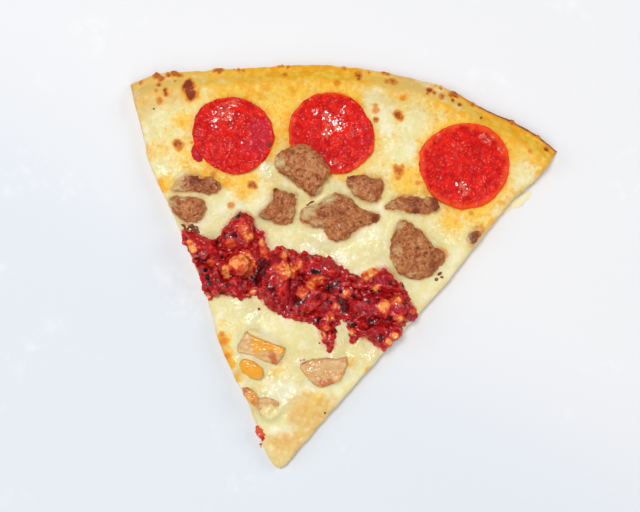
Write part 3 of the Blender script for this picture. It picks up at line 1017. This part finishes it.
class PIZZA_OT_cheese(bpy.types.Operator):
    """Models the melted cheese, which ripples, blisters and climbs up the toppings"""

    bl_idname = "pizza.cheese"
    bl_label = "Cheese"

    def execute(self, context):
        piece = slab("melted_cheese", sizes().cheese_rows, 4)
        way, across, up = slab_places(piece)
        top = up > 0.99
        share = 0.004 + 0.996 * way * (1.25 - 0.25 * way)
        to_rim = np.clip((1 - way) * 200 * MM, 0, None)
        x, y = self.plan(share, across, up)
        low = crust_top(x, y) + 0.1 * MM
        browned, blister = blister_fields(x, y)
        high = np.maximum(self.height(x, y, low, share, to_rim) + blister, low + 0.15 * MM)
        points = np.stack([x, y, high], axis=1) + np.array([TIP.x, TIP.y, 0])
        climb, juice = self.climb(x, y, points, np.flatnonzero(top))
        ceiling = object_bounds()[1].z
        z = np.where(top, np.minimum(high + climb, ceiling), low + (high - low) * up)
        set_points(piece, np.stack([x + TIP.x, y + TIP.y, z], axis=1))
        golden = 0.02 + 0.42 * ease((plan_share(x, y) - 0.58) / 0.2) + field(x, y, GOLDEN_PLACES)
        golden += 0.35 * rim_gold(x, y) * ease((plan_share(x, y) - 0.88) / 0.07)
        golden += 0.4 * field(x, y, [(bx, by, r * BLISTER_HALO, b) for bx, by, r, b, _ in BLISTERS])
        golden += 0.5 * (1 - distances(PEPPERONI, points, GREASE_REACH) / GREASE_REACH)
        paint(piece, "golden", golden)
        paint(piece, "juice", juice)
        paint(piece, "toasted", field(x, y, TOASTED_PLACES))
        paint(piece, "browned", browned)
        paint(piece, "crisp", rim_crisp(x, y))
        paint(piece, "gold", rim_gold(x, y))
        paint(piece, "rim", 1 - ease((to_rim - 1 * MM) / (9 * MM)))
        dry = ease((plan_share(x, y) - 0.72) / 0.2)
        paint(piece, "wet", 0.3 * (1 - dry) + field(x, y, WET_PLACES))
        paint(piece, "sauce", 1 - distances(RED_CHICKEN, points, SAUCE_REACH + MM) / SAUCE_REACH)
        paint_relief(piece, 10, 0.3 * MM)
        finish_piece(piece, cheese_finish(), "melted_cheese", "cheese")
        return {"FINISHED"}

    def plan(self, share, across, up):
        """Places of the vertices: the cut sides wander and bulge, and the rim's dough stays bare."""
        angle = through(LEFT_CUT, share) * (1 - across) + through(RIGHT_CUT, share) * across
        outer = 0.978 + 0.006 * ease((angle + 20) / 14)
        outer += 0.008 * waves(angle * 4 * MM, share * 0, 8 * MM, 31.5)
        outer = 1 - (1 - outer) * ease((share - 0.5) / 0.4)
        along = share * 200 * MM
        left = 0.55 * MM + 0.5 * MM * waves(along, along * 0, 7 * MM, 41.5)
        left -= 0.9 * MM * np.exp(-(((share - 0.845) / 0.02) ** 2))
        right = 0.6 * MM + 0.4 * MM * waves(along, along * 0, 6 * MM, 51.5)
        on_cut = (across < 1e-4) | (across > 1 - 1e-4)
        swell = 0.35 * MM * np.sin(np.pi * np.clip(up, 0, 1)) * on_cut
        return plan_places(share, across, left - swell, right - swell, outer)

    def height(self, x, y, low, share, to_rim):
        """Height of the top: rippled, mounded, rounded at the cuts and thinning out on the rim."""
        thin = 1 - ease(to_rim / (9 * MM))
        fine = 0.35 + 0.65 * ease((share - 0.68) / 0.12) + 0.5 * ease((0.34 - share) / 0.1)
        ripple = waves(x, y, 9 * MM, 61.5) + 0.55 * waves(x, y, 4 * MM, 63.5)
        ripple += fine * (0.4 * waves(x, y, 2.2 * MM, 64.5) + 0.2 * waves(x, y, 1.2 * MM, 65.5))
        lively = 1 - 0.5 * thin + 0.5 * ease((0.36 - share) / 0.1)
        high = cheese_top(x, y) + sizes().cheese_ripple * ripple * lively
        high += sizes().mound_height * np.clip(field(x, y, MOUNDS, 0.35), 0, 1)
        inside = np.clip(edge_distance(x, y), 0, None)
        round_off = 0.9 * MM * (1 - ease(inside / (2 * MM)))
        return low + (high - low) * (1 - 0.8 * thin) - round_off

    def climb(self, x, y, points, top):
        """How far the top rises towards the toppings, and how near the sausage's juice is."""
        tree, kinds = tree_of([*PEPPERONI, *SAUSAGE, *RED_CHICKEN, *GRILLED_CHICKEN])
        most = sizes().cheese_climb
        hold = 0.9 + 0.7 * waves(x, y, 9 * MM, 71.5)
        climb, juice = np.zeros((2, len(points)))
        for i in top:
            found = tree.find_nearest(Vector(points[i]), CLIMB_REACH)
            if found[0] is None:
                continue
            kind, near = kinds[found[2]], 1 - found[3] / CLIMB_REACH
            climb[i] = most * CLIMB_SHARES[kind] * hold[i] * near**1.8
            juice[i] = near if kind == "sausage" else 0
        return climb, juice


class PIZZA_OT_pepperoni(bpy.types.Operator):
    """Models the three pepperoni rounds, pebbled and slightly curled"""

    bl_idname = "pizza.pepperoni"
    bl_label = "Pepperoni"

    def execute(self, context):
        finish = pepperoni_finish()
        violet = {
            "pepperoni_left": (
                (-39.5, 161, 8, 0.9), (-38, 152, 7, 0.8), (-34, 158, 6, 0.6), (-45, 153, 4, 0.8),
                (-41, 167, 4, 0.5), (-68, 147, 3, 0.6)),
            "pepperoni_middle": (
                (10.5, 172, 4, 0.9), (13.5, 166, 4, 0.9), (13, 159, 3, 0.6), (4, 176, 3, 0.4)),
            "pepperoni_right": ((42, 160, 3, 0.7), (43, 154, 2, 0.6)),
        }
        charred = {
            "pepperoni_left": ((-33.5, 155.5, 2.0, 1.0), (-53, 150.5, 1.2, 0.6)),
            "pepperoni_middle": ((15.2, 174, 1.6, 0.8),),
            "pepperoni_right": (),
        }
        for node in PEPPERONI:
            piece = copy_of(node, node + "_round")
            rounded(piece, 2)
            remeshed(piece, sizes().fine_voxel)
            roughened(piece, (8, 1.5), (2.6, 0.7), (1.2, 0.12))
            apply_all(piece)
            x, y, _ = points_of(piece).T
            low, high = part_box(node)
            half = (high - low) / 2
            middle = (high + low) / 2
            out = np.hypot((x - middle.x) / half.x, (y - middle.y) / half.y)
            paint(piece, "rim", out * ORANGE_RINGS[node])
            paint_places(piece, {"oily": OILY_PLACES[node]}, 0.6)
            paint_places(piece, {"violet": violet[node], "charred": charred[node]}, 0.4)
            paint_relief(piece, 5, 0.12 * MM)
            finish_piece(piece, finish, "pepperoni", node)
        return {"FINISHED"}


def add_lumps(piece, count, size, seed):
    """Adds small lumps over a chunk's lower outline, so that it looks torn."""
    draw = random.Random(seed)
    bm = bmesh.new()
    bm.from_mesh(piece.data)
    spots = [vert.co.copy() for vert in bm.verts]
    middle = sum(spots, Vector()) / len(spots)
    top = max(spot.z for spot in spots)
    for _ in range(count):
        spot = draw.choice(spots).lerp(draw.choice(spots), draw.uniform(0, 0.12))
        spot = spot.lerp(middle, draw.uniform(0.02, 0.12))
        radius = size * draw.uniform(0.5, 1.1)
        spot.z = min(spot.z, top - radius * 0.8)
        shape = Matrix.Diagonal((
            radius * draw.uniform(0.8, 1.5), radius * draw.uniform(0.7, 1.2), radius * 0.8, 1))
        turn = Matrix.Rotation(draw.uniform(0, math.tau), 4, "Z")
        bmesh.ops.create_icosphere(
            bm, subdivisions=1, radius=1, matrix=Matrix.Translation(spot) @ turn @ shape)
    bm.to_mesh(piece.data)
    bm.free()


def crumb():
    """The one ragged crumb that scattered bits are copies of, as its points and faces."""
    deselect_all()
    bpy.ops.mesh.primitive_ico_sphere_add(subdivisions=2, radius=1)
    piece = added("crumb")
    bpy.ops.object.mode_set(mode="EDIT")
    bpy.ops.mesh.select_all(action="SELECT")
    bpy.ops.transform.vertex_random(offset=0.22, seed=4)
    bpy.ops.object.mode_set(mode="OBJECT")
    points = points_of(piece)
    faces = [tuple(face.vertices) for face in piece.data.polygons]
    bpy.data.meshes.remove(piece.data)
    return points, faces


def scattered(name, lumps):
    """One piece of many crumbs, each (centre, half x, half y, half z, turn)."""
    shape, corners = crumb()
    points, faces = [], []
    for number, (centre, *halves, turn) in enumerate(lumps):
        turned = np.array(Matrix.Rotation(turn, 3, "Z"))
        points.append((shape * halves) @ turned.T + centre)
        faces.extend(tuple(i + number * len(shape) for i in face) for face in corners)
    mesh = bpy.data.meshes.new(name)
    mesh.from_pydata(np.concatenate(points).tolist(), [], faces)
    piece = bpy.data.objects.new(name, mesh)
    bpy.context.scene.collection.objects.link(piece)
    return piece


def resting(x, y, lift):
    """The place in mm from the tip, so many mm above the cheese, or above the table off it."""
    spot = np.array([x * MM]), np.array([y * MM])
    ground = cheese_top(*spot)[0] if edge_distance(*spot)[0] > 0 else 0
    return Vector((x * MM + TIP.x, y * MM + TIP.y, ground + lift * MM))


def keep_on_table(piece):
    points = points_of(piece)
    points[:, 2] = np.maximum(points[:, 2], TABLE_GAP)
    set_points(piece, points)


def paint_places(piece, painted, raggedness=0.35):
    """Stores a field of places for each name that the piece's material reads."""
    x, y, _ = points_of(piece).T
    for name, places in painted.items():
        paint(piece, name, field(x - TIP.x, y - TIP.y, places, raggedness))


def chunk(node, lump_size, layers, painted):
    """A meat chunk from its solid: torn at the edge, remeshed and roughened in layers."""
    piece = copy_of(node, node + "_piece")
    low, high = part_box(node)
    around = (high.x - low.x + high.y - low.y) / MM
    add_lumps(piece, round(around * LUMPS_PER_MM), lump_size * MM, len(piece.data.vertices))
    return meat(piece, 4, layers, painted)


def meat(piece, smoothing, layers, painted):
    """Remeshes a chunk, roughens it in layers and paints it."""
    remeshed(piece, sizes().meat_voxel)
    softened(piece, smoothing)
    roughened(piece, *layers)
    apply_all(piece)
    points = points_of(piece)
    points[:, 2] = np.minimum(points[:, 2], CAD_BOX[1][2] + PAST_TOP)
    set_points(piece, points)
    paint_places(piece, painted)
    lift = points[:, 2] - cheese_top(points[:, 0] - TIP.x, points[:, 1] - TIP.y)
    paint(piece, "foot", 1 - lift / FOOT_HEIGHT)
    paint_relief(piece, 10, 0.6 * MM)
    return piece


class PIZZA_OT_sausage(bpy.types.Operator):
    """Models the crumbled sausage, coarse ground and peppered"""

    bl_idname = "pizza.sausage"
    bl_label = "Sausage"

    def execute(self, context):
        finish = sausage_finish()
        painted = {
            "creamed": (
                (-75, 129, 6, 0.9), (-76, 119, 4, 0.7), (-70, 125, 4, 0.6), (-2, 136, 6, 0.9),
                (-9, 127, 6, 0.7), (35, 128, 4, 0.7), (-29, 148, 5, 0.6), (-31, 122, 3, 0.5),
                (36, 109, 4, 0.6), (10, 139, 4, 0.7), (31, 137, 3, 0.5), (-20, 138, 5, 0.45),
                (37, 116, 3, 0.5), (46, 106, 3, 0.5), (-24, 146, 4, 0.4), (-3, 122, 4, 0.5),
                (24, 124, 3, 0.4), (-16, 126, 4, 0.4), (47, 122, 4, 0.3), (20, 138, 3, 0.4),
            ),
            "seared": (
                (52, 140, 3.4, 1.0), (50, 143, 2.6, 0.8), (24, 129, 3, 1.0), (9, 147, 2.6, 0.9),
                (-27, 134, 2.4, 0.9), (-31, 121, 2.0, 0.9), (-60, 130, 8, 0.5), (40, 140, 6, 0.5),
                (-66, 133, 4, 0.6), (9, 142, 2, 0.8), (12, 120, 5, 0.45), (8, 128, 3, 0.4),
                (-62, 117, 5, 0.35), (73, 128, 6, 0.9), (56, 112, 3, 0.5), (-18, 129, 2.4, 0.5),
                (25, 144, 2.4, 0.5), (20, 148, 3, 0.5), (-72, 113, 4, 0.5), (43, 136, 3, 0.5),
                (-24, 119, 3, 0.4), (0, 127, 2.4, 0.4), (-8, 146, 3, 0.3),
            ),
        }
        layers = ((6, 3), (2.2, 1.5), (1.1, 0.5))
        for node in SAUSAGE:
            piece = chunk(node, 1.1, layers, painted)
            finish_piece(piece, finish, "sausage", node)
        return {"FINISHED"}


class PIZZA_OT_red_chicken(bpy.types.Operator):
    """Models the spiced red chicken: craggy chunks with shreds and paste between them"""

    bl_idname = "pizza.red_chicken"
    bl_label = "Red Chicken"

    def execute(self, context):
        finish = red_chicken_finish()
        painted = {"flesh": FLESH_PLACES, "charred": CHARRED_PLACES, "shaded": SHADED_PLACES}
        layers = ((6, 3.8), (3.4, 1.8), (1.5, 0.2))
        for node in RED_CHICKEN:
            piece = chunk(node, 1.3, layers, painted)
            finish_piece(piece, finish, "red_chicken", node)
        self.shreds(finish, painted)
        return {"FINISHED"}

    def shreds(self, finish, painted):
        """Fills the paste's spread with small ragged lumps, merged into one mass."""
        draw = random.Random(7)
        chunks, _ = tree_of(RED_CHICKEN)
        corners = np.array(PASTE_OUTLINE) * MM
        lumps = []
        for _ in range(SHRED_TRIES):
            x = draw.uniform(corners[:, 0].min(), corners[:, 0].max())
            y = draw.uniform(corners[:, 1].min(), corners[:, 1].max())
            spot = np.array([x]), np.array([y])
            size = sizes().shred_size * draw.uniform(0.5, 1.2)
            if not within(x, y, corners) or edge_distance(*spot)[0] < size * 0.8:
                continue
            centre = Vector((x + TIP.x, y + TIP.y, cheese_top(*spot)[0] + 0.1 * MM))
            if chunks.ray_cast(centre + Vector((0, 0, 30 * MM)), Vector((0, 0, -1)), 32 * MM)[0]:
                continue
            centre.z += size * draw.uniform(0.1, 1.7)
            lumps.append((centre, size * draw.uniform(0.7, 1.6), size * draw.uniform(0.6, 1.0),
                          size * draw.uniform(0.5, 0.9), draw.uniform(0, math.tau)))
        for x, y, radius in RED_FLECKS:
            lumps.append((resting(x, y, 0.4 * radius), radius * 1.2 * MM, radius * MM,
                          radius * 0.7 * MM, draw.uniform(0, math.tau)))
        piece = scattered("red_chicken_shreds", lumps)
        remeshed(piece, sizes().fine_voxel)
        roughened(piece, (2.4, 1.1), (1.1, 0.3))
        apply_all(piece)
        keep_on_table(piece)
        paint_places(piece, painted)
        paint_relief(piece, 6, 0.5 * MM)
        finish_piece(piece, finish, "red_chicken")


def cut_piece(node):
    """A piece with cut sides: its plan, raised to its solid's height, under a leaning top."""
    lean, towards, corners = CHICKEN_CUTS[node]
    deselect_all()
    bpy.ops.mesh.primitive_circle_add(vertices=len(corners), radius=1, fill_type="NGON")
    piece = added(node + "_piece")
    bpy.ops.object.mode_set(mode="EDIT")
    bpy.ops.mesh.select_all(action="SELECT")
    bpy.ops.mesh.extrude_region_move(TRANSFORM_OT_translate={"value": (0, 0, 1)})
    bpy.ops.object.mode_set(mode="OBJECT")
    x, y, z = points_of(piece).T
    upper = z > 0.5
    turn = np.arctan2(-x, y) % math.tau / math.tau
    corner = np.rint(turn * len(corners)).astype(int) % len(corners)
    plan = np.array(corners) * MM + (TIP.x, TIP.y)
    away = (plan - plan.mean(0))[corner]
    along = away @ (math.cos(math.radians(towards)), math.sin(math.radians(towards)))
    low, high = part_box(node)
    top = high.z - 0.6 * MM - lean * MM * (along - along.min()) / (along.max() - along.min())
    plan = plan.mean(0) + away * np.where(upper, 0.93, 1)[:, None]
    set_points(piece, np.column_stack([plan, np.where(upper, top, low.z)]))
    worn = piece.modifiers.new("Worn Edges", "BEVEL")
    worn.width = 0.7 * MM
    worn.segments = 2
    return piece


class PIZZA_OT_grilled_chicken(bpy.types.Operator):
    """Models the pale grilled chicken near the tip"""

    bl_idname = "pizza.grilled_chicken"
    bl_label = "Grilled Chicken"

    def execute(self, context):
        finish = grilled_chicken_finish()
        golden = (
            (-22, 62.5, 5, 0.7), (-14, 61, 5, 0.7), (-10, 58, 4, 0.7), (-19, 58, 4, 0.6),
            (-22.8, 46.7, 8, 1.2), (-20, 33.7, 5, 0.7), (22, 49, 5, 0.6), (4, 50, 4, 0.3),
            (-6, 26, 4, 0.3),
        )
        grilled = (
            (-13.2, 54.5, 3.6, 0.9), (-11.5, 51.5, 2.6, 0.7), (-23, 36, 4, 0.8), (-18, 31, 3, 0.7),
            (14, 45.5, 4, 0.9), (10, 47, 3, 0.5), (22, 53, 3, 0.5), (-29, 64, 2.4, 0.7),
            (-23, 65, 2, 0.6), (2, 55, 2.6, 0.8), (6, 58, 2, 0.5), (21, 59, 3, 0.5), (-7, 60, 2, 0.6),
            (18, 48, 2.6, 0.5), (-18, 60, 1.6, 0.6),
        )
        painted = {"golden": golden, "grilled": grilled}
        for node in GRILLED_CHICKEN:
            piece = meat(cut_piece(node), 1, ((6, 1.3), (2.2, 0.6)), painted)
            finish_piece(piece, finish, "grilled_chicken", node)
        return {"FINISHED"}


class PIZZA_OT_crumbs(bpy.types.Operator):
    """Scatters the small bits: pepper, crumbs of sausage, scraps of pepperoni, cheese drips"""

    bl_idname = "pizza.crumbs"
    bl_label = "Crumbs"

    def execute(self, context):
        self.bits("ground_pepper", PEPPER, 0.25, 0.2, pepper_finish(), "sausage", {})
        self.bits(
            "sausage_crumbs", SAUSAGE_CRUMBS, 0.35, 0.8, bpy.data.materials["sausage_meat"],
            "sausage", {"seared": tuple((x, y, 4, 0.8) for x, y, *_ in SAUSAGE_CRUMBS)})
        self.bits(
            "pepperoni_scraps", PEPPERONI_SCRAPS, 0.4, 0.9, bpy.data.materials["pepperoni_meat"],
            "pepperoni", {"violet": tuple((x, y, 5, 1.0) for x, y, *_ in PEPPERONI_SCRAPS)})
        self.bits("cheese_drips", CHEESE_DRIPS, 0.35, 0.3, drip_finish(), "melted_cheese", {})
        return {"FINISHED"}

    def bits(self, name, table, voxel, rough, finish, slot, painted):
        """One piece of all the small bits of a kind, which lie on the cheese or on the table."""
        draw = random.Random(5)
        lumps = []
        for x, y, half_x, half_y, height, turn in table:
            centre = resting(x, y, height * 0.3)
            lumps.append((centre, half_x * MM, half_y * MM, height * MM,
                          math.radians(turn + draw.uniform(-8, 8))))
        piece = scattered(name, lumps)
        remeshed(piece, voxel * MM)
        roughened(piece, (1.5, rough))
        apply_all(piece)
        keep_on_table(piece)
        paint_places(piece, painted)
        paint_relief(piece, 5, 0.3 * MM)
        finish_piece(piece, finish, slot)


class PIZZA_OT_stage(bpy.types.Operator):
    """Sets the pale table, the light and the camera straight above the slice"""

    bl_idname = "pizza.stage"
    bl_label = "Stage"

    def execute(self, context):
        s = context.scene.pizza_stage
        self.table()
        self.light("key", (-0.44, 0.42, 2.28), 0.75, s.key_power)
        self.light("right_side", (1.9, 1.2, 1.7), 1.9, s.side_power * 1.25)
        self.light("near_side", (0.6, -2.0, 1.7), 1.9, s.side_power)
        self.light("left_side", (-2.1, -0.5, 1.5), 1.9, s.side_power)
        world = bpy.data.worlds.new("studio")
        context.scene.world = world
        world.use_nodes = True
        background = world.node_tree.nodes["Background"]
        background.inputs["Color"].default_value = (0.93, 0.96, 1.0, 1)
        background.inputs["Strength"].default_value = s.sky
        context.scene.view_settings.view_transform = "Standard"
        data = bpy.data.cameras.new("camera")
        data.lens = s.lens
        data.sensor_width = 36  # mm
        camera = bpy.data.objects.new("camera", data)
        context.scene.collection.objects.link(camera)
        distance = s.field * s.lens / data.sensor_width
        target = TIP + Vector((0.7, 106.7, 0)) * MM  # the middle of the picture
        camera.location = (target.x, target.y, s.field_height + distance)
        camera.rotation_euler = (0, 0, s.roll)
        data.clip_start, data.clip_end = 0.01, 10
        context.scene.camera = camera
        return {"FINISHED"}

    def table(self):
        deselect_all()
        bpy.ops.mesh.primitive_plane_add(size=4, location=(0, 0, -TABLE_GAP))
        floor = added("table_top")
        f = Finish("table_top", roughness=0.6, shine=0.2)
        along = f.node("ShaderNodeVectorMath", {0: f.place, 1: (0.5, 1.4, 0)}, operation="DOT_PRODUCT")
        smudges = f.times(f.band(f.grain(40, 6), 0.55, 0.7), f.band(f.grain(6, 4, 1), 0.4, 0.7, 0, 0.5))
        shade = f.layered(
            colours().table, (f.band(along.outputs["Value"], -0.1, 0.06), colours().table_light),
            (smudges, (0.95, 0.95, 0.96)))
        floor.data.materials.append(f.done(shade, None, f.bumped(f.grain(3), 0.05)))
        floor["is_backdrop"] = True

    def light(self, name, place, size, power):
        data = bpy.data.lights.new(name, "AREA")
        data.shape = "DISK"
        data.size = size
        data.energy = power
        lamp = bpy.data.objects.new(name, data)
        bpy.context.scene.collection.objects.link(lamp)
        lamp.location = place
        lamp.rotation_euler = (-Vector(place)).to_track_quat("-Z", "Y").to_euler()


class PIZZA_PT_slice(bpy.types.Panel):
    """Lists the slice's pieces, its sizes and its colours"""

    bl_label = "Pizza Slice"
    bl_idname = "PIZZA_PT_slice"
    bl_space_type = "VIEW_3D"
    bl_region_type = "UI"
    bl_category = "Pizza Slice"

    def draw(self, context):
        for piece in PIECES:
            self.layout.operator(piece.bl_idname)
        scene = context.scene
        for group in (scene.pizza_sizes, scene.pizza_colours, scene.pizza_stage):
            box = self.layout.box()
            for name in group.bl_rna.properties.keys():
                if name not in {"rna_type", "name"}:
                    box.prop(group, name)


PIECES = (
    PIZZA_OT_stage,
    PIZZA_OT_crust,
    PIZZA_OT_cheese,
    PIZZA_OT_pepperoni,
    PIZZA_OT_sausage,
    PIZZA_OT_red_chicken,
    PIZZA_OT_grilled_chicken,
    PIZZA_OT_crumbs,
)
GROUPS = (SliceSizes, SliceColours, StageSizes)


def register():
    for kind in (*GROUPS, *PIECES, PIZZA_PT_slice):
        bpy.utils.register_class(kind)
    bpy.types.Scene.pizza_sizes = PointerProperty(type=SliceSizes)
    bpy.types.Scene.pizza_colours = PointerProperty(type=SliceColours)
    bpy.types.Scene.pizza_stage = PointerProperty(type=StageSizes)


def unregister():
    for name in ("pizza_sizes", "pizza_colours", "pizza_stage"):
        delattr(bpy.types.Scene, name)
    for kind in reversed((*GROUPS, *PIECES, PIZZA_PT_slice)):
        bpy.utils.unregister_class(kind)


def main():
    register()
    for piece in PIECES:
        group, name = piece.bl_idname.split(".")
        getattr(getattr(bpy.ops, group), name)()


if __name__ == "__main__":
    main()
